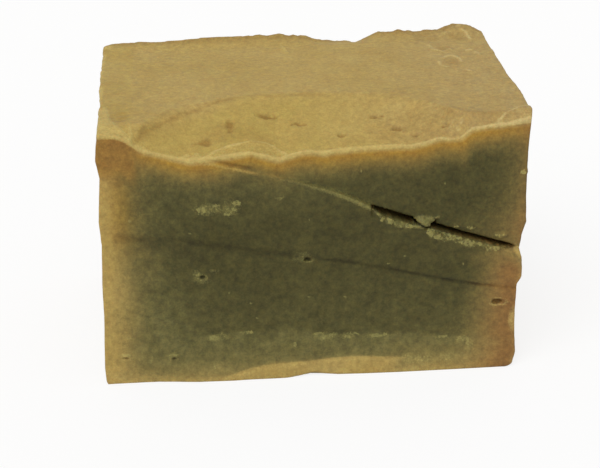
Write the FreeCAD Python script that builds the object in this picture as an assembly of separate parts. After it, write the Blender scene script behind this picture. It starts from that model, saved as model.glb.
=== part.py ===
# A hand-cut block of olive and laurel oil soap, one solid piece.
# The soap was poured as a slab, cut into blocks, dried until its skin turned golden, and then
# cut once more, so that the front face shows the green inside. It stands on its flat underside.
# X runs along the cut face, Y from the cut face to the back, Z up. The origin is the middle of
# the underside. All sizes are in millimetres.
import FreeCAD
import Part
import os
from FreeCAD import Vector

# Block. The ends lean and the sides are slightly crowned, as a wire cuts them.
length = 79.8
depth = 51.0
height = 51.0           # at the left end
right_back_rise = 0.9   # how much higher the top is at the back of the right end
right_front_fall = 0.4  # how much lower it is at the front of the right end
left_lean = 1.3         # how far the left end comes in between the underside and the top
right_lean = 1.4        # how far the right end comes in between the top and the underside
end_crown = 0.5         # bulge of each end at mid depth
back_crown = 0.8        # bulge of the back at mid length
corner_wear = 0.9       # width of the wear on the two back corners

# Top. A press mark lies across the front edge: the top falls from its curved rim to the cut face.
mark_from_left = 37.9   # middle of the press mark, from the left end
mark_half_width = 29.2
mark_reach = 17.5       # how far back the rim of the press mark comes
edge_reach = 3.2        # how far back the rounding of the front edge reaches beside the mark
back_reach = 5.0        # how far in from the back edge its waves fade out
# Along the top: distance from the left end, drop of the front edge, rise of the back edge.
top_stations = [(0.0, 0.8, -0.7), (1.5, 0.5, -0.4), (5.4, 1.3, 0.3), (8.7, 4.0, 0.9), (12.5, 4.8, 1.0),
                (17.0, 6.3, 1.2), (23.4, 5.7, 1.2), (28.5, 5.1, 1.2), (33.5, 6.8, 1.1), (38.2, 5.5, 1.0),
                (42.2, 6.2, 0.6), (44.6, 5.9, -0.6), (52.5, 5.6, -1.3), (57.7, 5.6, 0.7), (62.8, 4.3, 0.8),
                (66.2, 5.4, 0.7), (68.9, 2.9, 0.7), (73.0, 1.9, 1.6), (75.6, 1.6, 1.9), (79.5, 1.1, 0.3)]

# Crack. It starts at the top edge, runs down to the right end, and gapes over its right half.
# Its line on the cut face, by distance from the right end and distance below the top.
crack_line = [(-2.0, 27.1), (2.4, 25.6), (8.2, 23.6), (16.8, 20.6), (23.5, 18.3), (29.5, 16.1), (33.4, 14.1),
              (36.9, 12.6), (44.3, 10.3), (51.5, 8.4), (59.2, 6.5), (66.0, 5.0)]
step_start = 62.8       # from the right end, where the upper piece begins to stand back
step_depth = 1.2        # how far the upper piece stands back from the tip of the gap on
gap_tip = 29.5          # from the right end, where the gap opens
gap_end = 2.4           # from the right end, where it closes again
gap_width = 1.0
gap_depth = 14.0        # how far the gap runs into the block
gap_root = 0.2          # width of the gap at its deepest
gap_short = 4.0         # how much shorter the gap is at each end, at its deepest
lip_drop = 1.3          # broken lip under the gap: how far down the cut face it reaches
crumb_from_right = 19.7  # crumb wedged in the gap
crumb_length = 3.4
crumb_width = 2.0

# Holes in the cut face: distance from one end, height, length and width of the hole.
pits_from_left = [(38.4, 24.5, 1.9, 1.0), (19.1, 22.2, 1.3, 1.0)]
pits_from_right = [(5.2, 13.8, 2.6, 1.3)]

# Chips off the edges of the cut face.
corner_chip = 2.6       # lower right corner: how far up the edge, and into the depth
corner_chip_width = 1.7
spall_length = 8.0      # right edge, where the crack comes out
spall_depth = 1.8
base_chip_from_left = 39.6
base_chip_length = 9.0
base_chip_height = 0.8

above = 10.0            # how far cutting tools stand clear of the block

left = -length / 2
right = length / 2
front = -depth / 2
back = depth / 2
along_x = Vector(1, 0, 0)
upright = Vector(0, 0, 1)


def along(points, place):
    """Value at a place on the straight stretches between points, held beyond the last ones."""
    if place <= points[0][0]:
        return points[0][1]
    for (start, low), (end, high) in zip(points, points[1:]):
        if place <= end:
            return low + (high - low) * (place - start) / (end - start)
    return points[-1][1]


def polygon(points):
    return Part.Face(Part.makePolygon(points + points[:1]))


def grain(middle, axis, long, wide):
    """Two cones base to base, for what breaks off or is left as a crumb."""
    ahead, behind = [Part.makeCone(wide / 2, 0, long / 2, middle, way) for way in (axis, -axis)]
    return ahead.fuse(behind)


def end_x(side, level):
    """Where the corners of the left or right end stand at one level, without its crown."""
    if side < 0:
        return left + end_crown + left_lean * level / height
    return right - end_crown - right_lean * (1 - level / height)


def plan_outline(level):
    """Outline of the block at one level: a straight cut face, crowned ends and a crowned back."""
    x_left, x_right = end_x(-1, level), end_x(1, level)
    y_back = back - back_crown
    y_middle = (front + y_back) / 2
    front_left, front_right = Vector(x_left, front, level), Vector(x_right, front, level)
    back_left, back_right = Vector(x_left, y_back, level), Vector(x_right, y_back, level)
    cut_face = Part.LineSegment(front_left, front_right)
    right_end = Part.Arc(front_right, Vector(x_right + end_crown, y_middle, level), back_right)
    back_side = Part.Arc(back_right, Vector((x_left + x_right) / 2, back, level), back_left)
    left_end = Part.Arc(back_left, Vector(x_left - end_crown, y_middle, level), front_left)
    return Part.Wire([curve.toShape() for curve in (cut_face, right_end, back_side, left_end)])


def block():
    """The leaning block, taller than the soap, with its two back corners worn off."""
    tall = Part.makeLoft([plan_outline(0.0), plan_outline(height + above)], True, True)
    corners = [edge for edge in tall.Edges
               if edge.BoundBox.ZLength > height and edge.BoundBox.YMin > 0]
    return tall.makeChamfer(corner_wear, corners)


def stand_back(x):
    """How far the piece above the crack stands back from the cut face."""
    return along([(right - step_start, 0.0), (right - gap_tip, step_depth)], x)


def top_level(from_left, y):
    """Height of the top without its marks, a plane that is twisted towards the right end."""
    at_right = (right_back_rise + right_front_fall) * (y - front) / depth - right_front_fall
    return height + at_right * from_left / length


def top_section(from_left, drop, rise):
    """Section across the block at one station, bounded above by the top of the soap."""
    x = left + from_left
    across = (from_left - mark_from_left) / mark_half_width
    rim = max(edge_reach, mark_reach * max(0.0, 1 - across * across) ** 0.5)
    inner = back - back_reach
    edge_level = top_level(from_left, front + rim) - drop
    back_level = top_level(from_left, back) + rise
    top = [(front - above, edge_level), (front + stand_back(x), edge_level), (front + rim, edge_level + drop),
           (inner, top_level(from_left, inner)), (back, back_level), (back + above, back_level)]
    points = [Vector(x, y, z) for y, z in top + [(back + above, -above), (front - above, -above)]]
    return Part.makePolygon(points + points[:1])


def under_top():
    """Everything below the top surface, for the block to be cut to. It runs past both ends."""
    first, last = top_stations[0], top_stations[-1]
    far_end = max(length, last[0]) + above
    stations = [(first[0] - above, *first[1:]), *top_stations, (far_end, *last[1:])]
    return Part.makeLoft([top_section(*station) for station in stations], True, True)


def crack_height(from_right):
    return height - along(crack_line, from_right)


def upper_recess():
    """What is cut away so that the piece above the crack stands back from the cut face."""
    line = [(right - place, height - fall) for place, fall in crack_line]
    over = line + [(line[-1][0], height + above), (line[0][0], height + above)]
    over_crack = polygon([Vector(x, front - above, z) for x, z in over]).extrude(Vector(0, above + depth, 0))
    plan = [Vector(right - step_start, front, 0), Vector(right - gap_tip, front + step_depth, 0),
            Vector(right + above, front + step_depth, 0), Vector(right + above, front - above, 0),
            Vector(right - step_start, front - above, 0)]
    return over_crack.common(polygon(plan).extrude(Vector(0, 0, height + above)))


def gap_section(y, tip, end, width):
    """Outline of the gap at one depth: the crack line above, and the same line lowered below."""
    inner = [place for place, _ in crack_line if gap_end + gap_short < place < gap_tip - gap_short]
    places = [end] + inner + [tip]
    upper = [Vector(right - place, y, crack_height(place)) for place in places]
    lower = [Vector(right - place, y, crack_height(place) - width) for place in reversed(places[:-1])]
    return Part.makePolygon(upper + lower + upper[:1])


def crack_gap():
    """The open part of the crack, a thin wedge that narrows into the block."""
    mouth = gap_section(front, gap_tip, gap_end, gap_width)
    root = gap_section(front + gap_depth, gap_tip - gap_short, gap_end + gap_short, gap_root)
    return Part.makeLoft([mouth, root], True, True)


def broken_lip():
    """The crumbled edge under the gap, a bevel from the cut face up to the gap."""
    tip = Vector(right - gap_tip, front, crack_height(gap_tip))
    bevel = polygon([tip, tip + Vector(0, step_depth, 0), tip + Vector(0, step_depth, -gap_width),
                     tip + Vector(0, 0, -gap_width - lip_drop)])
    mouth = [Vector(right - place, front, crack_height(place)) for place in (gap_tip, gap_end)]
    return bevel.extrude(mouth[1] - mouth[0])


def crumb():
    """A crumb wedged in the gap, flush with the cut face."""
    middle = Vector(right - crumb_from_right, front + crumb_width / 2,
                    crack_height(crumb_from_right) - gap_width / 2)
    return grain(middle, along_x, crumb_length, crumb_width)


def face_pits():
    """Holes that bubbles and grit left in the cut face."""
    pits = [(left + place, *rest) for place, *rest in pits_from_left]
    pits += [(right - place, *rest) for place, *rest in pits_from_right]
    return [grain(Vector(x, front, level), along_x, long, wide) for x, level, long, wide in pits]


def corner_piece():
    """The piece missing from the lower right corner, split off along a slanting plane."""
    corner = Vector(end_x(1, 0.0), front, 0)
    split = [corner + Vector(-corner_chip_width, 0, 0), corner + Vector(0, 0, corner_chip),
             corner + Vector(0, corner_chip, 0)]
    return polygon(split).extrude(Vector(corner_chip_width, -corner_chip, -corner_chip))


def spall():
    """The chip off the right edge of the cut face."""
    level = crack_height(0.0)
    return grain(Vector(end_x(1, level), front, level), upright, spall_length, 2 * spall_depth)


def base_chip():
    """The shallow chip off the lower edge of the cut face."""
    edge = Vector(left + base_chip_from_left, front, 0)
    return grain(edge, along_x, base_chip_length, 2 * base_chip_height)


def soap_bar():
    bar = block().common(under_top())
    missing = [upper_recess(), crack_gap(), broken_lip(), corner_piece(), spall(), base_chip()]
    for piece in missing + face_pits():
        bar = bar.cut(piece)
    bar = bar.fuse(crumb())
    return max(bar.Solids, key=lambda solid: solid.Volume)


def main():
    os.makedirs("parts", exist_ok=True)
    soap_bar().exportStep("parts/soap_bar.step")


main()
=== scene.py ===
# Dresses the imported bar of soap: a fine mesh of the block with its worn edges, cracks and scuffs,
# a soap material that runs from golden skin to green core, the floor, the light and the camera.
# Lengths are in millimetres until they reach a mesh, which is in metres. X runs along the cut face,
# Y from the cut face to the back, Z up, and the origin is the middle of the underside.
# On the top, places are given as X and the distance behind the cut face.
import bpy
import itertools
import math
import numpy as np
from mathutils import Matrix, Vector
from types import SimpleNamespace


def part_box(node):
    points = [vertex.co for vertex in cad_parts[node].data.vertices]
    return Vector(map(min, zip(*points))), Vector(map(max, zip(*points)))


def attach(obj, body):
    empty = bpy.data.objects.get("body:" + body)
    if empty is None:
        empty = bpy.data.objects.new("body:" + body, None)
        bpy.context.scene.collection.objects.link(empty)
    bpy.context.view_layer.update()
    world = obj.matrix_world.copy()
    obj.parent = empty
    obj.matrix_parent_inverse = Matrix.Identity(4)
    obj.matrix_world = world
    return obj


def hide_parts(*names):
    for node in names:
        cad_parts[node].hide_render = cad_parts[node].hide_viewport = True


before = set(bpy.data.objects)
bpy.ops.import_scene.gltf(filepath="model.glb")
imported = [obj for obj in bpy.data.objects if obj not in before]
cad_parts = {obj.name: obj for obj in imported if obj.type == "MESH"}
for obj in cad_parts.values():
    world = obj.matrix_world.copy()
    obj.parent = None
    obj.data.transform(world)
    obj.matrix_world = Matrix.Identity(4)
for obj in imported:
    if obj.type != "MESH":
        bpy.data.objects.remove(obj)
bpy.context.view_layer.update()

MM = 0.001
LOW, HIGH = [np.array(corner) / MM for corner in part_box("soap_bar")]
FRONT = LOW[1]

# Mesh
VOXEL = 0.28            # edge of the even mesh that the wear is modelled in
FACE_LIMIT = 192000     # triangles that are kept
PULL = 0.5              # share of the way to the mean of its neighbours that a point moves in a round
FIRST_ROUNDS = 3        # rounds of smoothing that take the steps out of the even mesh
WORN_ROUNDS = 5         # rounds on the old skin behind the cut face, which round its edges
WORN_FROM = 2.5         # how far behind the cut face that begins
BIN = 0.6               # width of the bins in which edges are measured on the mesh
# How freely the mesh may be thinned out, from 0, not at all, to 1.
FREE_CUT_FACE, FREE_TOP, FREE_SIDES, FREE_UNDERSIDE = 0.1, 0.5, 0.75, 0.98

# Crack, as X and height on the cut face. Above it the cut face steps back.
CRACK = [(-26.1, 46.0), (-19.3, 44.4), (-11.6, 42.4), (-4.4, 40.4), (3.0, 38.0), (6.5, 36.4), (10.4, 34.4),
         (16.4, 32.2), (23.1, 29.9), (31.7, 26.9), (37.5, 24.9), (41.9, 23.4)]
CRACK_FALL = [(-22.9, 0.0), (10.4, 0.5)]    # how much lower it runs than in the CAD model, by X
STEP_FROM, STEP_TO, STEP = -22.9, 10.4, 1.2     # X where the step begins and is whole, and its depth
GAP_FROM, GAP_TO = 10.4, 37.5
GAP_FLOOR = 4.6         # how far behind the cut face the gap keeps its full width
# Width of the gap by X.
GAP_WIDTHS = [(10.4, 0.3), (12.6, 1.15), (18.0, 1.3), (22.0, 1.0), (30.0, 1.05), (35.0, 0.8), (37.5, 0.4)]
# Lower edge of the crumbled lip under the gap, the crumb wedged in the gap and the lumps round it.
LIP = [(8.0, 35.9), (10.4, 34.0), (12.0, 32.1), (13.4, 30.8), (16.8, 29.9), (20.5, 29.4), (21.3, 27.8),
       (23.2, 26.9), (25.6, 27.1), (28.9, 25.3), (30.6, 25.8), (32.4, 24.6), (35.5, 24.3)]
CRUMB = (20.3, 30.7, 2.1, 1.35)
CRUMB_CRACK = [(18.0, 31.3), (18.7, 30.7), (19.7, 30.2), (20.8, 29.6), (21.8, 29.9), (22.6, 30.5)]
LIP_LUMPS = [(14.0, 31.4, 0.7, 0.7), (12.6, 31.7, 0.5, 0.4), (21.6, 28.7, 0.9, 0.8), (22.9, 27.8, 1.1, 0.6),
             (29.0, 26.3, 1.2, 0.8), (30.9, 25.9, 0.6, 0.5), (34.0, 24.7, 0.8, 0.4), (18.0, 30.2, 0.9, 0.5)]
UPPER_LUMPS = [(22.9, 31.5, 0.7, 0.4), (26.6, 29.4, 0.8, 0.3), (29.3, 29.0, 0.9, 0.4),
               (34.8, 27.2, 1.2, 0.5)]
# How strongly the ledge beside the closed part of the crack shows as a painted highlight, by X.
LEDGE_SHOWS = [(-20, 0.5), (-12, 0.3), (-9, 0.15), (-5, 0.3), (2, 0.6), (9, 0.75)]

# Old crack on the cut face: a dark line, and a broad dark band that takes its place at the left.
HAIRLINE = [(-12.0, 26.4), (-2.5, 24.9), (2.8, 24.1), (9.0, 22.9), (15.9, 21.2), (23.5, 19.3), (31.2, 17.6),
            (38.0, 16.6)]
HAIRLINE_SHOWS = [(-14, 0.4), (5, 0.85), (20, 1.0)]     # how clearly, by X
BAND = [(-36.0, 30.3), (-24.8, 29.2), (-16.0, 27.6), (-8.0, 26.0), (-2.5, 25.2)]

# Outward bulges of the two upright edges of the cut face, as height and distance.
LEFT_BULGES = [(0.0, 0.4), (3.3, 0.6), (14.2, 0.4), (20.6, 0.6), (29.0, 0.5), (33.2, 0.85), (38.0, 0.6),
               (41.8, 0.4), (45.3, 1.05), (47.4, 0.9), (50.5, 0.4)]
RIGHT_BULGES = [(0.0, 0.1), (3.0, 0.4), (7.0, 0.1), (13.5, -0.2), (17.4, -0.15), (18.8, 0.7), (22.5, 0.6),
                (24.0, 0.1), (27.0, 0.3), (29.5, 1.0), (35.0, 0.5), (40.0, 0.35), (51.0, 0.1)]
BULGE_REACH = 9.0       # how far in from its edge a bulge fades out
BULGE_DEPTH = 14.0      # how far behind the cut face it fades out

# Outward bulges of the two upper edges that run from front to back, as place and distance.
LEFT_TOP = [(18.0, 0.0), (26.0, 0.5), (50.0, 0.55)]
RIGHT_TOP = [(0.0, 0.0), (4.0, 0.7), (12.0, 0.8), (18.0, 0.5), (25.0, 0.0)]
# How far the foot of the cut face flares out, by X.
FOOT_FLARE = [(-30.0, 0.0), (-22.0, 0.9), (-6.0, 0.9), (-1.0, 0.2), (5.0, 0.3), (12.0, 0.6), (36.0, 0.5),
              (38.5, 0.1)]
# How much higher the upper front edge stands than in the CAD model, by X.
EDGE_RISE = [(-2.0, 0.0), (0.5, 0.1), (3.5, 0.25), (10.0, 0.3), (15.0, 0.35), (20.0, 0.2), (22.5, 0.35),
             (25.5, 0.8), (27.5, 0.4), (30.0, 0.3), (33.0, 0.0)]
UPPER_ENDS = (-36.6, 38.4)      # X between which the upper edge of the cut face can be measured
# What the mesh lacks at three corners of the block: middle, size, and how far it is pushed out.
CORNERS = [((-37.0, 25.0, 50.5), 5.5, (-0.2, 0.2, 0.75)), ((37.2, -25.3, 0.2), 1.3, (0.9, -0.1, 0.0)),
           ((39.2, -23.0, 50.6), 3.0, (0.1, -0.1, 0.8))]
# Stretch of the top, seen from above, where the rim of the press mark is softened.
MELLOW = (-26.0, 9.0, 9.5, 7.0)
MELLOW_ABOVE = 45       # height from which it is
MELLOW_ROUNDS = 25

# Crest along the upper front edge, a pale burr with a painted highlight on it: X, its width on the top, and
# how far it stands up.
CREST = [(-38.5, 0.5, 0.2), (-34.0, 0.5, 0.25), (-31.2, 0.7, 0.3), (-27.5, 0.45, 0.2), (-24.5, 0.45, 0.25),
         (-22.5, 0.9, 0.4), (-20.5, 0.8, 0.35), (-18.5, 0.5, 0.3), (-12.0, 0.4, 0.25), (-4.5, 0.5, 0.3),
         (0.0, 0.45, 0.2), (2.5, 0.7, 0.35), (9.0, 0.4, 0.2), (14.0, 0.4, 0.3), (22.0, 0.3, 0.3),
         (31.0, 0.3, 0.3), (39.5, 0.35, 0.25)]
CREST_PUSH = (0.0, -0.3, 0.9)   # which way it is pushed out of the edge
# Flakes bent up behind the crest: how pale, and by X how far behind the cut face each reaches.
FLAKES = [(0.75, [(-40.5, 13.5), (-37.4, 12.9), (-36.7, 7.1), (-35.6, 3.4), (-34.1, 1.7), (-32.7, 0.6)]),
          (0.3, [(-19.6, 0.2), (-17.8, 1.5), (-15.9, 2.3), (-13.2, 2.7), (-10.8, 3.1), (-8.6, 3.4),
                 (-6.9, 2.9), (-5.3, 1.1), (-4.9, 0.2)]),
          (0.2, [(33.0, 0.1), (34.9, 1.5), (36.4, 2.6), (38.1, 3.5), (40.5, 4.6)])]

# Scuffs on the cut face, where the soap is crumbled and pale: X, height, half length, half height.
SCUFFS = [(-19.2, 35.2, 2.8, 1.1), (-15.3, 35.4, 1.9, 1.5), (1.8, 8.3, 2.2, 0.9), (6.6, 8.1, 1.8, 0.7),
          (12.2, 7.9, 2.2, 0.5), (24.2, 6.9, 1.5, 0.4), (28.2, 6.2, 1.3, 0.7), (29.8, 5.0, 0.8, 1.2),
          (-18.8, 8.9, 1.8, 1.1), (-13.0, 9.8, 1.5, 0.5), (-35.8, 6.0, 1.1, 0.7), (-27.0, 5.6, 1.1, 0.6),
          (-2.6, 25.1, 2.1, 1.0), (-21.2, 21.6, 1.5, 1.3), (-18.9, 22.8, 1.0, 0.8), (-31.2, 5.2, 0.5, 1.0),
          (-6.3, 36.9, 0.9, 0.35), (17.6, 2.8, 2.0, 1.2), (20.4, 2.6, 1.8, 0.9), (25.0, 2.5, 1.4, 0.7)]
# Small flakes that stand out of the scuffs.
CHIPS = [(0.7, 8.9, 1.0, 0.35), (1.6, 7.9, 0.5, 0.5), (3.0, 8.4, 0.55, 0.4), (6.2, 7.8, 0.8, 0.35),
         (7.4, 8.6, 0.6, 0.35), (11.4, 7.9, 1.1, 0.32), (13.3, 8.1, 0.5, 0.35), (24.4, 7.0, 0.9, 0.3),
         (27.8, 6.5, 0.7, 0.4), (29.2, 5.5, 0.4, 0.8), (-19.2, 8.9, 1.2, 0.6), (-12.4, 9.8, 0.8, 0.32),
         (-19.2, 2.8, 0.5, 0.25), (-35.9, 6.1, 0.8, 0.3), (-26.7, 5.7, 0.8, 0.3), (-3.9, 6.7, 0.3, 0.6),
         (-20.6, 35.2, 0.9, 0.7), (-18.2, 35.9, 1.0, 0.35), (-14.2, 36.3, 0.7, 0.5), (-16.0, 34.1, 1.0, 0.35),
         (-14.6, 35.0, 0.5, 0.4), (38.6, 39.7, 0.6, 0.5)]
EDGE_HIGHLIGHT = (37.9, 10.0, 1.2, 3.2)   # faint painted highlight by the right edge, where the edge catches the light
# Light grains in the cut face.
GRAINS = [(-33.7, 33.6), (-22.9, 30.6), (-16.1, 18.2), (-12.1, 15.9), (-11.0, 12.7), (-1.0, 32.4),
          (13.7, 22.8), (16.8, 24.3), (5.6, 16.3), (-1.2, 16.7), (8.7, 41.2), (24.2, 38.0), (27.8, 22.1),
          (38.9, 40.1)]
GRAIN_SIZE = 0.24
# Holes in the cut face with a raised rim, painted dark inside as painted shade: X, height, half length, half
# height.
HOLES = [(-1.4, 24.3, 0.8, 0.35), (-20.9, 21.6, 0.6, 0.45), (34.7, 13.9, 1.2, 0.55), (-35.7, 5.4, 0.5, 0.25),
         (-26.8, 4.8, 0.5, 0.25)]

# Cut face colours: the sharp upper bound of the tan band at its foot, and the line above which the
# core is dark, by X. How far the skin reaches in from the right edge, by height. The skin that covers
# the upper left corner: X, distance below the upper edge, half width, half height.
FOOT_BAND = [(-20.0, -0.6), (-17.4, 0.9), (-12.6, 2.2), (-8.7, 3.0), (-1.1, 3.1), (2.7, 3.5), (8.5, 3.6),
             (14.3, 3.2), (26.0, 3.0), (40.0, 2.6)]
CORE_LINE = [(-38.0, 10.5), (-20.0, 9.6), (0.0, 8.8), (12.0, 8.3), (31.0, 6.6), (39.0, 5.5)]
RIGHT_SKIN = [(14, 7.6), (20, 6.4), (27, 3.6)]
CORNER_SKIN = (-36.2, 2.2, 4.6, 5.0)

# Top: the worn rim of the press mark, which falls away from it to the cut edge. It is painted darker as the
# shade of its shallow groove.
MARK_RIM = [(-32.3, 0.3), (-29.9, 3.4), (-27.3, 6.4), (-23.8, 9.8), (-19.2, 12.8), (-16.7, 14.6),
            (-11.0, 16.8), (-2.9, 17.2), (6.2, 16.2), (14.0, 13.6), (21.0, 9.6), (25.5, 4.5), (27.0, 0.0)]
# Worn dents in the press mark: X, place, half length, half width.
DENTS = [(-19.6, 4.2, 1.4, 0.9), (-14.8, 8.2, 0.8, 1.4), (-8.0, 11.3, 2.0, 0.7), (-2.2, 8.6, 1.2, 0.7),
         (11.8, 9.2, 1.5, 0.5), (15.6, 5.6, 1.2, 0.5), (24.2, 3.6, 0.7, 0.35), (5.4, 5.0, 0.6, 0.4),
         (19.3, 3.4, 0.8, 0.3)]
# Bruises: X, place, half length, half width.
BRUISES = [(29.6, 40.1, 2.2, 1.7), (30.2, 32.2, 1.8, 2.6), (27.0, 47.0, 3.2, 2.2), (34.0, 46.8, 2.2, 1.8),
           (-2.5, 49.2, 5.0, 1.8), (-34.4, 7.5, 1.6, 4.4), (16.5, 6.5, 7.0, 3.6), (23.5, 5.0, 5.0, 3.0),
           (-15.5, 6.0, 6.0, 2.4)]
# Low pale ridges of broken skin, each a line of X and place.
RIDGES = [[(27.2, 42.6), (27.9, 39.7), (29.5, 38.4), (31.1, 39.3)],
          [(27.7, 32.1), (27.7, 29.7), (28.7, 28.8)],
          [(29.0, 34.3), (30.2, 35.7), (31.3, 35.0), (32.1, 33.4), (32.0, 31.5)],
          [(34.1, 38.4), (35.5, 38.9), (36.3, 35.9)],
          [(32.1, 26.6), (32.8, 26.0)],
          [(31.7, 48.3), (33.1, 49.3), (34.8, 49.4), (35.7, 47.6), (36.2, 45.2)],
          [(-2.8, 47.0), (-1.6, 41.5)],
          [(-33.2, 4.3), (-32.8, 2.5), (-32.5, 1.2)],
          [(-24.0, 0.3), (-22.8, 1.1), (-22.2, 0.5), (-21.0, 1.3)],
          [(25.6, 3.4), (26.5, 2.6), (27.2, 2.9)]]
# Pale rubbed patches along the left edge: X, place, half length, half width.
RUBBED = [(-38.0, 48.6, 1.1, 2.0), (-38.9, 42.0, 0.7, 3.4), (-39.1, 33.0, 0.7, 3.8), (-38.8, 21.0, 0.7, 5.0)]

# How far each mark stands out of the surface, negative where it lies below.
RELIEF = {"lip": -0.25, "lip_lump": 0.25, "upper_lump": 0.3, "crumb": 0.1, "crumb_crack": -0.7,
          "ledge": 0.14, "undercut": -0.16, "hairline": -0.22, "band": -0.03, "scuff": -0.1, "chip": 0.12,
          "grain": 0.12, "hole": -0.45, "hole_rim": 0.14, "rim": -0.08, "dent": -0.32, "bruise": -0.08,
          "ridge": 0.2, "rubbed": 0.12, "flake": 0.15, "flake_edge": 0.15}
# How pale, how speckled with pale flecks, and how dark each mark is, from 0 to 1.
# Among the pale marks, the lit ledge line and the patch by the right edge are painted highlights, and the
# crest is a pale burr with a painted highlight.
PALE = {"crest": 0.95, "lit_line": 1.0, "flake": 1.0, "flake_edge": 0.95, "ridge": 0.78, "rubbed": 0.75,
        "bare_crumb": 0.7, "lip": 0.4, "upper_lump": 0.35, "grain": 0.8, "scuff": 0.45, "hole_rim": 0.6,
        "whitened": 0.65, "foot_line": 0.35}
FLECKED = {"crumbs": 1.0, "lip_lump": 0.95, "upper_lump": 0.6, "scuff": 0.54, "chip": 1.0,
           "hole_rim": 0.35, "rubbed": 0.5}
# Among the dark marks, the crack in the crumb, the mouth of the gap, the undercut, the holes, the press
# mark's rim, the bevel and the back edge are painted shade.
DARK = {"crumb_crack": 1.0, "mouth": 0.6, "undercut": 0.6, "hairline": 0.8, "band": 0.38, "hole": 0.7,
        "rim": 0.42, "dent": 0.52, "bruise": 0.14, "bevel": 0.14, "back_edge": 0.3}
# Marks that keep the finest triangles.
DETAIL = ["gap", "crumb", "crumb_crack", "lip", "lip_lump", "upper_lump", "ledge", "hairline", "scuff",
          "chip", "grain", "hole", "hole_rim", "crest", "ridge", "flake_edge"]

# Colours as they look on a screen, from 0 to 255. The two of a pair are mixed in patches.
SKIN = (181, 161, 103), (189, 170, 116)
STAMPED_SKIN, GREYED_SKIN, AGED_SKIN = (178, 159, 81), (180, 161, 122), (176, 149, 92)
WARM_SKIN = (180, 146, 62), (168, 130, 58)
BROWN_SKIN = (150, 118, 74), (140, 107, 68)
DARK_CORE = (77, 75, 44), (86, 84, 51)
LIGHT_CORE = (105, 103, 66), (117, 114, 77)
PALE_CORE = (144, 141, 93)
PALE_SKIN = (195, 177, 119), (202, 186, 139)    # on the plain skin, and where it is greyed
SHADOWS = (36, 33, 17), (128, 92, 42)           # on the core, and on the skin
# Tints that darken and lighten the colours in lumps of three sizes.
SMALL_TINTS = (90, 80, 50), (170, 165, 130)
FINE_TINTS = (60, 50, 30), (215, 205, 170)
GRIT_TINTS = (40, 34, 20), (225, 215, 185)

# Light
SKY = 0.58              # strength of the pale sky
SKY_COLOUR = [1.0, 0.98, 0.95, 1.0]
WHITE = [1.0, 1.0, 1.0, 1.0]
FLOOR_COLOUR = [0.9, 0.9, 0.9, 1.0]
FLOOR_SIZE = 3.0        # from its middle to its edges, in metres
FLOOR_WHITE = 0.8       # share of plain white in what the camera sees of the floor
SUN = 1.75
SUN_ANGLE = 50          # how broad the sun is, in degrees
SUN_FROM = (-0.35, -0.65, 1.0)

# Camera, fitted to the six corners of the block that the photo shows.
LENS, SENSOR = 97.2, 36.0
TARGET = (-2.72, -25.5, 29.63)
DISTANCE = 298.1
YAW, PITCH, ROLL = math.radians(-4.28), math.radians(23.92), math.radians(-0.68)


def hashed(key, seed):
    """A number from 0 to 1 for each whole-number cell, always the same one for a cell."""
    code = (key[:, 0] * 73856093) ^ (key[:, 1] * 19349663) ^ ((key[:, 2] + 101 * seed) * 83492791)
    code = ((code ^ (code >> 13)) * 1274126177) & 0x7FFFFFFF
    return ((code ^ (code >> 11)) & 0xFFFF) / 65535


def noise(points, size, seed=0):
    """Smooth noise from -1 to 1, in lumps of about one size."""
    place = points / size
    cell = np.floor(place).astype(np.int64)
    part = place - cell
    part = part ** 3 * (part * (part * 6 - 15) + 10)
    total = np.zeros(len(points))
    for corner in itertools.product((0, 1), repeat=3):
        share = np.prod(np.where(corner, part, 1 - part), axis=1)
        total += (2 * hashed(cell + corner, seed) - 1) * share
    return total


def rough(points, size, seed=0):
    """Noise with two finer layers on it."""
    finer = 0.5 * noise(points, size / 2.1, seed + 1) + 0.25 * noise(points, size / 4.3, seed + 2)
    return (noise(points, size, seed) + finer) / 1.75


def lumps(points, size, seed=0):
    """Rounded crumbs of about one size: 1 in the middle of each, 0 where they meet."""
    place = points / size
    cell = np.floor(place).astype(np.int64)
    nearest = np.full(len(points), np.inf)
    for step in itertools.product((-1, 0, 1), repeat=3):
        key = cell + step
        middle = key + np.stack([hashed(key, seed + axis) for axis in range(3)], axis=1)
        nearest = np.minimum(nearest, ((place - middle) ** 2).sum(axis=1))
    return 1 - np.sqrt(nearest).clip(0, 1)


def rise(start, end, value):
    """A smooth step from 0 at start to 1 at end."""
    share = np.clip((value - start) / (end - start), 0, 1)
    return share * share * (3 - 2 * share)


def bell(distance, width):
    return np.exp(-(distance / width) ** 2)


def along(line, value, column=1):
    """A column of a list of points, read off at values of its first column."""
    return np.interp(value, [point[0] for point in line], [point[column] for point in line])


def off_line(line, u, v):
    """Distance from a line of straight stretches."""
    nearest = np.full(len(u), np.inf)
    for (u0, v0), (u1, v1) in zip(line, line[1:]):
        du, dv = u1 - u0, v1 - v0
        share = (((u - u0) * du + (v - v0) * dv) / (du * du + dv * dv)).clip(0, 1)
        nearest = np.minimum(nearest, np.hypot(u - u0 - share * du, v - v0 - share * dv))
    return nearest


def oval(u, v, spot):
    """Distance from the middle of an oval spot, 1 on its outline."""
    return np.hypot((u - spot[0]) / spot[2], (v - spot[1]) / spot[3])


def strongest(*marks):
    return np.clip(np.maximum.reduce(marks), 0, 1)


def spots(places, u, v, ragged, fade=(1.15, 0.75)):
    """Ragged spots: 1 inside each, 0 outside, fading between two shares of its size."""
    return strongest(*[rise(*fade, oval(u, v, spot) + ragged) for spot in places])


def shown(marks, shares):
    """The strongest at each point of some marks, each taken by its share."""
    return strongest(*[share * getattr(marks, name) for name, share in shares.items()])


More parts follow.
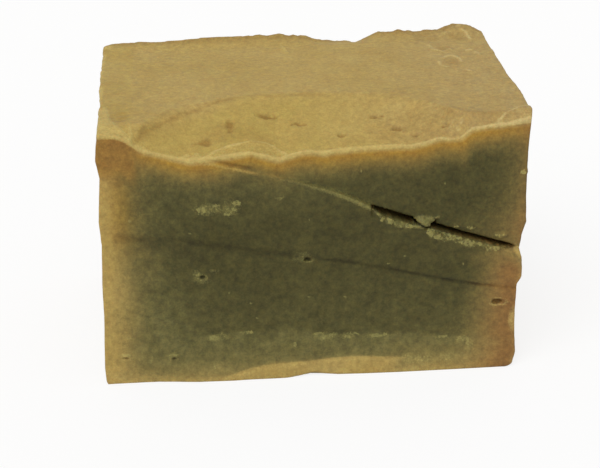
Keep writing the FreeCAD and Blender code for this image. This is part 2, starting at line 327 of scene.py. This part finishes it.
def settle(piece):
    """Applies the modifiers of a piece to its mesh."""
    graph = bpy.context.evaluated_depsgraph_get()
    mesh = bpy.data.meshes.new_from_object(piece.evaluated_get(graph))
    piece.modifiers.clear()
    piece.data = mesh


def read_points(mesh):
    points = np.zeros(len(mesh.vertices) * 3)
    mesh.vertices.foreach_get("co", points)
    return points.reshape(-1, 3) / MM


def read_normals(mesh):
    normals = np.zeros(len(mesh.vertices) * 3)
    mesh.vertex_normals.foreach_get("vector", normals)
    return normals.reshape(-1, 3)


def write_points(mesh, points):
    mesh.vertices.foreach_set("co", (points * MM).ravel())
    mesh.update()


def read_links(mesh):
    """The points at the two ends of each edge of a mesh."""
    ends = np.zeros(len(mesh.edges) * 2, np.int64)
    mesh.edges.foreach_get("vertices", ends)
    return ends.reshape(-1, 2).T


def smoothed(points, mesh, strength, rounds):
    """Points drawn towards the mean of their neighbours, round after round."""
    starts, ends = read_links(mesh)
    count = len(points)
    links = np.bincount(starts, minlength=count) + np.bincount(ends, minlength=count)
    for _ in range(rounds):
        sums = [np.bincount(starts, column[ends], count) + np.bincount(ends, column[starts], count)
                for column in points.T]
        points = points + strength[:, None] * (np.stack(sums, axis=1) / links[:, None] - points)
    return points


def spread_out(chosen, mesh, rounds):
    """A choice of points, grown by their neighbours, round after round."""
    starts, ends = read_links(mesh)
    for _ in range(rounds):
        either = chosen[starts] | chosen[ends]
        chosen = chosen.copy()
        chosen[starts[either]] = True
        chosen[ends[either]] = True
    return chosen


def furthest(place, value, pick, start):
    """The furthest value in each bin of places, with the middles of the bins."""
    bins = np.floor((place - place.min()) / BIN).astype(int)
    found = np.full(bins.max() + 1, start)
    pick.at(found, bins, value)
    found = np.convolve(np.pad(found, 1, mode="edge"), [0.25, 0.5, 0.25], mode="valid")
    return place.min() + (np.arange(len(found)) + 0.5) * BIN, found


def stand_back(x, z):
    """How far the cut face lies behind its foremost plane: above the crack it steps back."""
    return np.interp(x, [STEP_FROM, STEP_TO], [0.0, STEP]) * (z > along(CRACK, x))


def crack_fall(points):
    """How far the points round the crack are lowered."""
    x, y, z = points.T
    return along(CRACK_FALL, x) * rise(5.0, 1.5, np.abs(z - along(CRACK, x))) * rise(20.0, 8.0, y - FRONT)


class Edges:
    """The edges of the cut face and the level of the top, measured on the even mesh."""

    def __init__(self, points, normals):
        x, y, z = points.T
        cut = (normals[:, 1] < -0.85) & (y - FRONT - stand_back(x, z) < 0.5) & (z > 1.0)
        self.upper = furthest(x[cut], z[cut], np.maximum, -np.inf)
        self.left = furthest(z[cut], x[cut], np.minimum, np.inf)
        self.right = furthest(z[cut], x[cut], np.maximum, -np.inf)
        self.levels = np.zeros([int(size / BIN) + 2 for size in HIGH[:2] - LOW[:2]])
        np.maximum.at(self.levels, self.cell(x, y), z)
        for axis in (0, 1):
            beside = [np.roll(self.levels, step, axis) for step in (-1, 1)]
            self.levels = np.maximum.reduce([self.levels, *beside])

    def raise_upper(self):
        """Moves the upper edge to where it stands after the wear."""
        place, level = self.upper
        self.upper = place, level + along(EDGE_RISE, place)

    def cell(self, x, y):
        """The grid cell, seen from above, that holds each point."""
        return tuple(((value - low) / BIN).astype(int).clip(0, count - 1)
                     for value, low, count in zip((x, y), LOW, self.levels.shape))

    def top(self, x, y):
        return self.levels[self.cell(x, y)]

    def below_upper(self, x, z):
        """Distance below the upper edge of the cut face, square to the edge."""
        place, level = self.upper
        within = x.clip(*UPPER_ENDS)
        slope = np.interp(within, place, np.gradient(level, place))
        return (np.interp(within, place, level) - z) / np.hypot(1, slope)


class Places:
    """Where the points of a mesh lie on the block."""

    def __init__(self, edges, points):
        self.points = points
        self.x, self.y, self.z = points.T
        self.flat = points * (1, 0, 1)      # noise read here runs straight into the block
        self.deep = self.y - FRONT
        self.behind = self.deep - stand_back(self.x, self.z)
        self.over_crack = self.z - along(CRACK, self.x)
        self.from_top = edges.below_upper(self.x, self.z)
        self.from_left = self.x - np.interp(self.z, *edges.left)
        self.from_right = np.interp(self.z, *edges.right) - self.x
        self.cut = rise(1.6, 0.7, self.behind) * rise(-0.1, 0.4, self.from_top)
        near_top = rise(2.2, 1.3, edges.top(self.x, self.y) - self.z) * rise(38.0, 42.0, self.z)
        self.top = near_top * (1 - self.cut)


def gap_marks(p, marks):
    """The open gap, the crumb wedged in it, and the walls inside it, with painted shade in the mouth of the
    gap and in the crack of the crumb.
    """
    wide = along(GAP_WIDTHS, p.x)
    aside = np.abs(p.over_crack + wide / 2) - wide / 2
    marks.along_gap = rise(GAP_FROM - 0.2, GAP_FROM + 0.3, p.x) * rise(GAP_TO + 0.4, GAP_TO - 0.2, p.x)
    near_face = rise(3.0, 2.0, p.deep)
    marks.crumb = rise(1.1, 0.8, oval(p.x, p.z, CRUMB) + 0.15 * noise(p.flat, 1.0, 51)) * near_face
    # The crack in the crumb is painted dark as painted shade.
    marks.crumb_crack = bell(off_line(CRUMB_CRACK, p.x, p.z), 0.24) * near_face
    marks.bare_crumb = marks.crumb * (1 - marks.crumb_crack)
    marks.gap = marks.along_gap * rise(0.12, -0.12, aside) * (1 - marks.crumb)
    marks.by_gap = marks.along_gap * rise(0.9, 0.6, aside) * rise(16.5, 15.0, p.deep)
    starts = np.where(p.over_crack < -wide / 2, STEP - 0.5, STEP + 0.2)
    within = rise(0.35, 0.1, aside) * rise(starts, starts + 0.4, p.deep)
    # The mouth of the gap is painted dark as the shade inside it.
    marks.mouth = marks.by_gap * within * (1 - marks.crumb)
    marks.in_gap = marks.mouth * rise(0.15, 0.0, aside)


def ledge_marks(p, marks):
    """The lit ledge beside the closed part of the crack with its painted highlight, and the undercut above it
    with its painted shadow.
    """
    started = rise(STEP_FROM - 1, STEP_FROM + 3, p.x)
    near_step = started * (1 - marks.along_gap) * rise(STEP + 0.6, STEP, p.deep)
    marks.ledge = near_step * bell(p.over_crack + 0.25, 0.34 + 0.16 * rise(-4, 6, p.x))
    # The ledge is painted pale and golden as a painted highlight.
    marks.lit_line = marks.ledge * along(LEDGE_SHOWS, p.x)
    marks.lit_ledge = near_step * bell(p.over_crack + 0.2, 0.42) * rise(-7.5, -12.0, p.x)
    # The undercut is painted dark as the shadow under the step.
    marks.undercut = near_step * bell(p.over_crack - 0.5, 0.3) * rise(-9.5, -12.5, p.x) * rise(-20, -17, p.x)


def lip_marks(p, marks):
    """The crumbled lip under the gap, and the lumps on it and above it."""
    marks.lump = lumps(p.points, 1.0, 5)
    near_gap = rise(3.0, 1.6, p.deep)
    over_lip = p.z - along(LIP, p.x) + 0.45 * rough(p.flat, 1.3, 6)
    reach = rise(7.0, 10.5, p.x) * rise(38.5, 36.0, p.x) * near_gap
    marks.lip = reach * rise(-0.35, 0.2, over_lip) * rise(0.2, -0.2, p.over_crack) * (1 - marks.gap)
    marks.crumbs = marks.lip * (0.4 + 0.35 * marks.lump)
    torn = 0.3 * rough(p.flat, 0.8, 7)
    marks.lip_lump = near_gap * spots(LIP_LUMPS, p.x, p.z, torn) * (1 - marks.gap)
    marks.upper_lump = near_gap * spots(UPPER_LUMPS, p.x, p.z, torn) * rise(-0.1, 0.2, p.over_crack)


def old_crack_marks(p, marks):
    """The old, closed crack in the cut face."""
    wander = 0.15 * noise(p.flat, 2.0, 8)
    broken = (0.75 + 0.25 * noise(p.flat, 2.5, 31)) * along(HAIRLINE_SHOWS, p.x)
    marks.hairline = p.cut * broken * bell(off_line(HAIRLINE, p.x, p.z) + wander, 0.34)
    marks.band = p.cut * bell(off_line(BAND, p.x, p.z), 0.9)


def face_marks(p, marks):
    """Scuffs, light grains, small flakes and holes in the cut face, the holes with painted shade inside, and
    a painted highlight by the right edge.
    """
    torn = rough(p.flat, 1.1, 11)
    marks.scuff = p.cut * spots(SCUFFS, p.x, p.z, 0.7 * torn, fade=(1.5, 0.3))
    marks.grain = p.cut * spots([(*spot, GRAIN_SIZE, GRAIN_SIZE) for spot in GRAINS], p.x, p.z, 0)
    marks.chip = p.cut * spots(CHIPS, p.x, p.z, 0.5 * rough(p.flat, 0.9, 63))
    # A painted highlight by the right edge of the cut face.
    marks.whitened = p.cut * rise(1.3, 0.3, oval(p.x, p.z, EDGE_HIGHLIGHT))
    holes = [oval(p.x, p.z, spot) + 0.25 * torn for spot in HOLES]
    # The holes are painted dark inside as painted shade.
    marks.hole = p.cut * strongest(*[rise(1.1, 0.5, far) for far in holes])
    around = 0.6 + 0.6 * noise(p.flat, 1.2, 29)
    marks.hole_rim = p.cut * around * strongest(*[bell(far - 1.4, 0.35) for far in holes])


def crest_marks(p, marks):
    """The ragged crest along the upper front edge, a pale burr with a painted highlight on it, and the flakes
    behind it with their edges.
    """
    wide = along(CREST, p.x) * (1 + 0.4 * noise(p.flat, 1.6, 14))
    onto_face, onto_top = np.maximum(p.from_top, 0), np.maximum(p.behind, 0)
    # The crest is painted pale, partly as its pale burr and partly as a painted highlight on the edge.
    marks.crest = bell(onto_face, 0.3) * bell(onto_top, wide) * rise(4.0, 3.0, np.abs(p.from_top))

    ragged = 0.25 * rough(p.points, 1.5, 61)
    marks.flake, marks.flake_edge = np.zeros(len(p.x)), np.zeros(len(p.x))
    for pale, line in FLAKES:
        first, last = line[0][0], line[-1][0]
        held = p.top * rise(first - 0.4, first, p.x) * rise(last + 0.4, last, p.x)
        cover = pale * held * rise(0.2, -0.1, p.behind - along(line, p.x) + ragged)
        marks.flake = np.maximum(marks.flake, cover)
        edge = held * bell(off_line(line, p.x, p.behind) + ragged, 0.33)
        marks.flake_edge = np.maximum(marks.flake_edge, edge)


def press_marks(p, marks):
    """The worn rim of the press mark with painted shade along it, the smoother skin inside it and its dents.
    """
    wander = 0.35 * noise(p.points, 3.0, 17)
    fading = rise(14, 0, p.x) * (0.65 + 0.35 * noise(p.points, 4.0, 18))
    # The rim is painted darker as the shade in its groove.
    marks.rim = p.top * fading * bell(off_line(MARK_RIM, p.x, p.deep) + wander, 0.36)
    inside = (along(MARK_RIM, p.x) - p.deep) * rise(-33, -31, p.x) * rise(28, 26, p.x)
    marks.stamped = p.top * rise(-1.5, 3.0, inside + 2 * noise(p.points, 6.0, 19)) * rise(20, -6, p.x)
    marks.dent = p.top * spots(DENTS, p.x, p.deep, 0.9 * rough(p.points, 0.9, 71), fade=(1.3, 0.6))


def top_marks(p, marks):
    """Bruises, ridges of broken skin, worn edges, painted shade along the back edge and on the bevel behind
    the front edge, and the greyer right part of the top.
    """
    torn = rough(p.points, 1.2, 21)
    marks.bruise = p.top * spots(BRUISES, p.x, p.deep, 0.4 * torn, fade=(1.3, 0.4))
    broken = rise(-0.8, -0.1, noise(p.points, 1.8, 24))
    lines = [bell(off_line(line, p.x, p.deep) + 0.2 * torn, 0.4) for line in RIDGES]
    marks.ridge = p.top * broken * strongest(*lines)
    marks.rubbed = rise(49.0, 50.2, p.z) * spots(RUBBED, p.x, p.deep, 0.6 * torn)
    # The back edge is crumbled and painted darker as painted shade.
    marks.back_edge = rise(HIGH[1] - 3.5, HIGH[1] - 0.8, p.y) * rise(4.0, 0.5, HIGH[2] - 1.5 - p.z)
    marks.greyed = p.top * rise(8, 34, p.x)
    # The bevel behind the right part of the front edge is painted darker as painted shade.
    marks.bevel = p.top * rise(0.2, 0.8, p.behind) * rise(4.0, 2.6, p.behind) * rise(14, 22, p.x)


def find_marks(p):
    """Every mark of the surface, as how strongly it shows at each point, from 0 to 1."""
    marks = SimpleNamespace()
    for add in (gap_marks, ledge_marks, lip_marks, old_crack_marks, face_marks, crest_marks, press_marks,
                top_marks):
        add(p, marks)
    return marks


def relief(p, marks):
    """How far each point is pushed out along its normal."""
    points = p.points
    lift = 0.09 * noise(points, 13.0, 1) + 0.04 * rough(points, 4.0, 2) + 0.02 * noise(points, 0.9, 3)
    on_skin = (1 - p.cut) * (1 - marks.gap)
    lift += on_skin * (0.05 * rough(points, 5.0, 4) + 0.025 * rough(points, 1.8, 40))
    for name, height in RELIEF.items():
        lift += height * getattr(marks, name)
    lift += marks.lump * (0.45 * marks.lip + 0.25 * marks.lip_lump + 0.35 * marks.crumb)
    lift += 0.26 * marks.scuff * lumps(points, 0.8, 12)
    lift += 0.28 * marks.bruise * rough(points, 1.5, 73)
    lift += 0.12 * marks.rubbed * rough(points, 1.2, 44)
    waves = 0.5 * rough(points, 2.2, 9) + 0.25 * lumps(points, 1.6, 47)
    return lift + marks.back_edge * rise(-16, -6, p.x) * waves


def edge_shift(p):
    """How much further out than in the CAD model the edges of the block stand."""
    shift = np.zeros_like(p.points)
    near_face, near_top = bell(p.deep, BULGE_DEPTH), rise(43, 50, p.z)
    shift[:, 0] -= near_face * along(LEFT_BULGES, p.z) * rise(BULGE_REACH, 0, p.from_left)
    shift[:, 0] += near_face * along(RIGHT_BULGES, p.z) * rise(BULGE_REACH, 0, p.from_right)
    shift[:, 0] -= near_top * along(LEFT_TOP, p.deep) * rise(-28, -38, p.x)
    shift[:, 0] += near_top * along(RIGHT_TOP, p.deep) * rise(28, 38, p.x)
    shift[:, 1] -= along(FOOT_FLARE, p.x) * rise(4.5, 0.0, p.z) * rise(5.0, 1.0, p.behind)
    shift[:, 2] += along(EDGE_RISE, p.x) * bell(p.behind, 5.0) * rise(5.0, 0.0, p.from_top)
    return shift


def wear(edges, points, normals):
    """The points of the even mesh, moved to give the wear and crumbs of the real surface."""
    p = Places(edges, points)
    marks = find_marks(p)
    off_floor = rise(0.0, 0.8, p.z)
    moved = points + normals * (relief(p, marks) * off_floor)[:, None]
    by_edge = rise(3.0, 0.0, np.minimum(p.deep, p.from_left))
    moved[:, 2] += 0.05 * (1 + rough(points, 4.0, 13)) * (1 - off_floor) * by_edge

    groove = marks.gap * (p.deep < GAP_FLOOR)
    moved[:, 1] = np.maximum(moved[:, 1], FRONT + GAP_FLOOR * groove)
    crest = marks.crest * along(CREST, p.x, 2) * (1 + 0.6 * rough(points, 1.4, 15))
    moved += crest[:, None] * CREST_PUSH
    for corner, size, push in CORNERS:
        moved += bell(np.linalg.norm(points - corner, axis=1), size)[:, None] * push
    moved[:, 2] = moved[:, 2].clip(0)
    return moved + edge_shift(p)


def skin_reach(p):
    """How far the golden skin reaches onto the cut face from its edges, from 0 to 1."""
    skin = SimpleNamespace()
    wander = noise(p.flat, 6.0, 33)
    from_left, from_top, from_right = [far.clip(0) for far in (p.from_left, p.from_top, p.from_right)]
    skin.left = 0.96 * bell(from_left, 5.3 + 0.5 * wander)
    skin.corner = rise(1.5, 0.6, oval(p.x, p.from_top, CORNER_SKIN) + 0.1 * wander)
    skin.top = bell(from_top, 3.6 + 0.5 * wander)
    low = rise(27.0, 20.0, p.z)
    skin.right = low * np.exp(-(from_right / (along(RIGHT_SKIN, p.z) + wander)) ** 2.6)
    by_crack = bell(p.z - 28.0, 5.5)
    skin.right_high = np.exp(-from_right / (2.8 + 2.4 * by_crack)) * (1 - low) * (0.56 + 0.24 * by_crack)
    over_band = p.z - along(FOOT_BAND, p.x)
    sharp = rise(0.45, -0.15, over_band + 0.12 * rough(p.flat, 2.0, 35))
    sharp *= rise(-20, -17, p.x) * rise(22, 13, p.x)
    soft = np.exp(-p.z.clip(0) / (2.7 + 1.1 * rise(10, 18, p.x)))
    skin.foot = strongest(0.92 * sharp, 0.95 * soft)
    skin.foot_line = p.cut * sharp * bell(over_band + 0.5, 0.5)
    return skin


def add_tints(p, marks):
    """Adds how strongly the golden skin, its warm and brown tints and the light part of the core show."""
    skin = skin_reach(p)
    bare = strongest(p.cut, marks.by_gap)
    uncovered = (1 - skin.left) * (1 - skin.top) * (1 - skin.right) * (1 - skin.right_high) * (1 - skin.foot)
    reddish = marks.in_gap * (0.3 + 0.4 * rise(24, 36, p.x))
    covered = (1 - uncovered) * (1 - marks.in_gap)
    # The lit ledge is painted golden and warm as a painted highlight.
    golden = strongest(covered, 0.95 * skin.corner, 0.9 * marks.lit_ledge, reddish)
    marks.skin = 1 - bare * (1 - golden ** 1.35)
    marks.foot_line = skin.foot_line

    under_crest = skin.top * rise(0.2, 1.1, p.from_top)
    upper_left = rise(24, 34, p.z) * bell(p.from_left - 3.5, 2.6)
    marks.warm = p.cut * strongest(under_crest, skin.corner, 0.6 * upper_left, 0.5 * marks.lit_ledge)
    at_right = skin.right * rise(-2.5, 0.5, p.from_right)
    marks.brown = bare * strongest(at_right, skin.right_high, 0.65 * skin.corner)

    low = rise(0.8, -0.5, p.z - along(CORE_LINE, p.x) + 0.6 * noise(p.flat, 2.4, 37))
    low *= 0.8 + 0.2 * rise(8, 4, p.z)
    at_left = rise(-17, -32, p.x) * (0.33 + 0.52 * rise(27, 10, p.z))
    high = 0.34 * rise(31, 38, p.z) * rise(22, -6, p.x)
    marks.light_core = strongest(low, at_left, high) + 0.3 * rise(25, 8, p.z)


def colour_layers(edges, mesh):
    """What the material reads from the mesh: a name and a number from 0 to 1 for each point."""
    p = Places(edges, read_points(mesh))
    marks = find_marks(p)
    add_tints(p, marks)
    layers = {"pale": shown(marks, PALE), "flecked": shown(marks, FLECKED), "dark": shown(marks, DARK)}
    for name in ("skin", "warm", "brown", "light_core", "stamped", "greyed"):
        layers[name] = getattr(marks, name)
    return layers


def paint(mesh, layers):
    for name, values in layers.items():
        layer = mesh.attributes.new(name, "FLOAT", "POINT")
        layer.data.foreach_set("value", np.clip(values, 0, 1).astype(np.float32))


def thin_out(block, edges):
    """Fewer triangles: longest under the block and on its sides, as they were where there are marks."""
    p = Places(edges, read_points(block.data))
    detail = shown(find_marks(p), dict.fromkeys(DETAIL, 1.0))
    freedom = np.where(p.cut > 0.3, FREE_CUT_FACE, np.where(p.top > 0.5, FREE_TOP, FREE_SIDES))
    freedom = np.where(p.z < 0.1, FREE_UNDERSIDE, freedom)
    freedom = np.where(spread_out(detail > 0.15, block.data, 2), 0.0, freedom)
    group = block.vertex_groups.new(name="free")
    for step in np.unique(freedom[freedom > 0]):
        group.add(np.flatnonzero(freedom == step).tolist(), float(step), "REPLACE")
    triangles = sum(len(face.vertices) - 2 for face in block.data.polygons)
    fewer = block.modifiers.new("fewer", "DECIMATE")
    fewer.ratio = min(1.0, FACE_LIMIT / triangles)
    fewer.vertex_group = "free"
    fewer.vertex_group_factor = 1.0
    settle(block)
    block.vertex_groups.clear()


def make_block():
    """The soap, as one fine mesh that stands for the CAD solid."""
    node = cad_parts["soap_bar"]
    block = bpy.data.objects.new("soap_block", node.data.copy())
    bpy.context.scene.collection.objects.link(block)
    remesh = block.modifiers.new("even", "REMESH")
    remesh.mode = "VOXEL"
    remesh.voxel_size = VOXEL * MM
    settle(block)

    points = read_points(block.data)
    worn = rise(WORN_FROM - 1, WORN_FROM + 1, points[:, 1] - FRONT)
    points = smoothed(points, block.data, np.full(len(points), PULL), FIRST_ROUNDS)
    mellow = rise(1.0, 0.6, oval(points[:, 0], points[:, 1] - FRONT, MELLOW)) * (points[:, 2] > MELLOW_ABOVE)
    points = smoothed(points, block.data, PULL * mellow, MELLOW_ROUNDS)
    points[:, 2] -= crack_fall(points)
    write_points(block.data, points)
    edges = Edges(points, read_normals(block.data))
    points = smoothed(points, block.data, PULL * worn, WORN_ROUNDS)
    write_points(block.data, points)
    write_points(block.data, wear(edges, points, read_normals(block.data)))
    edges.raise_upper()

    thin_out(block, edges)
    block.data.shade_smooth()
    paint(block.data, colour_layers(edges, block.data))
    return block


def linear(share):
    """The linear value that a shader takes for one channel of a screen colour, from 0 to 1."""
    return share / 12.92 if share <= 0.04045 else ((share + 0.055) / 1.055) ** 2.4


class Nodes:
    """The shader nodes of a material or a world, with short ways to add some."""

    def __init__(self, owner):
        owner.use_nodes = True
        self.tree = owner.node_tree
        self.tree.nodes.clear()

    def node(self, kind, inputs, **settings):
        made = self.tree.nodes.new("ShaderNode" + kind)
        for key, value in settings.items():
            setattr(made, key, value)
        for key, value in inputs.items():
            self.feed(made.inputs[key], value)
        return made

    def feed(self, socket, value):
        """Gives a socket an output to read, a screen colour as a tuple, or else a plain value."""
        if isinstance(value, bpy.types.NodeSocket):
            self.tree.links.new(value, socket)
        elif isinstance(value, tuple):
            socket.default_value = [linear(channel / 255) for channel in value] + [1.0]
        else:
            socket.default_value = value

    def layer(self, name):
        return self.node("Attribute", {}, attribute_name=name).outputs["Fac"]

    def noise(self, size, detail=3.0):
        """Noise in lumps of a size in millimetres, stretched to run from 0 to 1."""
        place = self.node("TexCoord", {}).outputs["Object"]
        made = self.node("TexNoise", {"Vector": place, "Scale": 1 / (size * MM), "Detail": detail})
        return self.spread(made.outputs["Fac"], 0.3, 0.7)

    def math(self, operation, first, second):
        return self.node("Math", {0: first, 1: second}, operation=operation).outputs[0]

    def scaled(self, value, share):
        return self.math("MULTIPLY", value, share)

    def mix(self, share, first, second, blend="MIX"):
        made = self.node("Mix", {"Factor": share}, data_type="RGBA", blend_type=blend)
        self.feed(made.inputs[6], first)
        self.feed(made.inputs[7], second)
        return made.outputs[2]

    def spread(self, value, low, high, to_low=0.0, to_high=1.0):
        """A value from low to high, stretched to run from one number to another."""
        return self.node("MapRange", {0: value, 1: low, 2: high, 3: to_low, 4: to_high}).outputs[0]


def skin_colour(s, patches):
    skin = s.mix(s.noise(14.0), *SKIN)
    skin = s.mix(s.scaled(s.layer("stamped"), 0.45), skin, STAMPED_SKIN)
    skin = s.mix(s.scaled(s.layer("greyed"), 0.5), skin, GREYED_SKIN)
    skin = s.mix(s.scaled(patches, 0.4), skin, AGED_SKIN)
    skin = s.mix(s.layer("warm"), skin, s.mix(patches, *WARM_SKIN))
    return s.mix(s.layer("brown"), skin, s.mix(patches, *BROWN_SKIN))


def soap_colour(s, small, fine, grit):
    """The golden skin over the green core, with pale marks, some of them painted highlights, dark marks, many
    of them painted shade, and three layers of tint.
    """
    patches = s.noise(4.0)
    core = s.mix(s.layer("light_core"), s.mix(patches, *DARK_CORE), s.mix(small, *LIGHT_CORE))
    colour = s.mix(s.layer("skin"), core, skin_colour(s, patches))

    ragged = s.math("ADD", s.layer("pale"), s.spread(grit, 0, 1, -0.12, 0.12))
    ragged = s.scaled(s.spread(ragged, 0.15, 0.9), 0.93)
    flecks = s.spread(s.math("ADD", s.layer("flecked"), s.noise(0.5)), 1.05, 1.35, 0.0, 0.95)
    pale = s.mix(s.layer("skin"), PALE_CORE, s.mix(s.layer("greyed"), *PALE_SKIN))
    colour = s.mix(s.math("MAXIMUM", ragged, flecks), colour, pale)
    colour = s.mix(s.layer("dark"), colour, s.mix(s.layer("skin"), *SHADOWS))

    fine_share = s.spread(s.layer("stamped"), 0, 1, 0.36, 0.24)
    for pattern, tints, share in ((small, SMALL_TINTS, 0.3), (fine, FINE_TINTS, fine_share),
                                  (grit, GRIT_TINTS, 0.2)):
        colour = s.mix(share, colour, s.mix(pattern, *tints), "SOFT_LIGHT")
    return colour


def soap_material():
    material = bpy.data.materials.new("soap")
    s = Nodes(material)
    small, fine, grit = s.noise(2.0, 4.0), s.noise(0.9, 4.0), s.noise(0.35, 2.0)
    height = s.math("ADD", s.scaled(fine, 0.6), s.scaled(grit, 0.4))
    bump = s.node("Bump", {"Height": height, "Strength": 0.4, "Distance": 0.07 * MM}).outputs["Normal"]
    soap = s.node("BsdfPrincipled", {"Base Color": soap_colour(s, small, fine, grit), "Normal": bump,
                                     "Roughness": s.spread(fine, 0, 1, 0.5, 0.66),
                                     "Subsurface Weight": 0.10, "Subsurface Scale": 0.0015,
                                     "Specular IOR Level": 0.16})
    s.node("OutputMaterial", {"Surface": soap.outputs[0]})
    return material


def make_floor():
    """A wide pale floor that looks white to the camera and keeps the soap's soft shadow."""
    far = FLOOR_SIZE
    mesh = bpy.data.meshes.new("floor")
    mesh.from_pydata([(-far, -far, 0), (far, -far, 0), (far, far, 0), (-far, far, 0)], [], [(0, 1, 2, 3)])
    plane = bpy.data.objects.new("floor", mesh)
    bpy.context.scene.collection.objects.link(plane)
    material = bpy.data.materials.new("floor")
    s = Nodes(material)
    plain = s.node("BsdfDiffuse", {"Color": FLOOR_COLOUR}).outputs[0]
    white = s.node("Emission", {"Color": WHITE, "Strength": 1.0}).outputs[0]
    seen = s.scaled(s.node("LightPath", {}).outputs["Is Camera Ray"], FLOOR_WHITE)
    mixed = s.node("MixShader", {0: seen, 1: plain, 2: white}).outputs[0]
    s.node("OutputMaterial", {"Surface": mixed})
    mesh.materials.append(material)


def make_light():
    """Even light from a pale sky and one broad soft sun from the upper front."""
    world = bpy.data.worlds.new("studio")
    bpy.context.scene.world = world
    s = Nodes(world)
    sky = s.node("Background", {"Color": SKY_COLOUR, "Strength": SKY}).outputs[0]
    backdrop = s.node("Background", {"Color": WHITE}).outputs[0]
    seen = s.node("LightPath", {}).outputs["Is Camera Ray"]
    s.node("OutputWorld", {"Surface": s.node("MixShader", {0: seen, 1: sky, 2: backdrop}).outputs[0]})

    sun = bpy.data.lights.new("sun", "SUN")
    sun.energy = SUN
    sun.angle = math.radians(SUN_ANGLE)
    lamp = bpy.data.objects.new("sun", sun)
    lamp.rotation_mode = "QUATERNION"
    lamp.rotation_quaternion = Vector(SUN_FROM).to_track_quat("Z", "Y")
    bpy.context.scene.collection.objects.link(lamp)


def make_camera():
    ahead = Vector((-math.sin(YAW) * math.cos(PITCH), math.cos(YAW) * math.cos(PITCH), -math.sin(PITCH)))
    level = Vector((math.cos(YAW), math.sin(YAW), 0))
    upward = level.cross(ahead)
    right = math.cos(ROLL) * level + math.sin(ROLL) * upward
    up = -math.sin(ROLL) * level + math.cos(ROLL) * upward
    data = bpy.data.cameras.new("camera")
    data.lens = LENS
    data.sensor_width = SENSOR
    data.clip_start, data.clip_end = 0.01, 20.0
    camera = bpy.data.objects.new("camera", data)
    turn = Matrix((right, up, -ahead)).transposed().to_4x4()
    camera.matrix_world = Matrix.Translation((Vector(TARGET) - DISTANCE * ahead) * MM) @ turn
    bpy.context.scene.collection.objects.link(camera)
    bpy.context.scene.camera = camera


bpy.context.scene.view_settings.view_transform = "Standard"
soap = make_block()
soap.data.materials.clear()
soap.data.materials.append(soap_material())
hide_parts("soap_bar")
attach(soap, "root")
make_floor()
make_light()
make_camera()
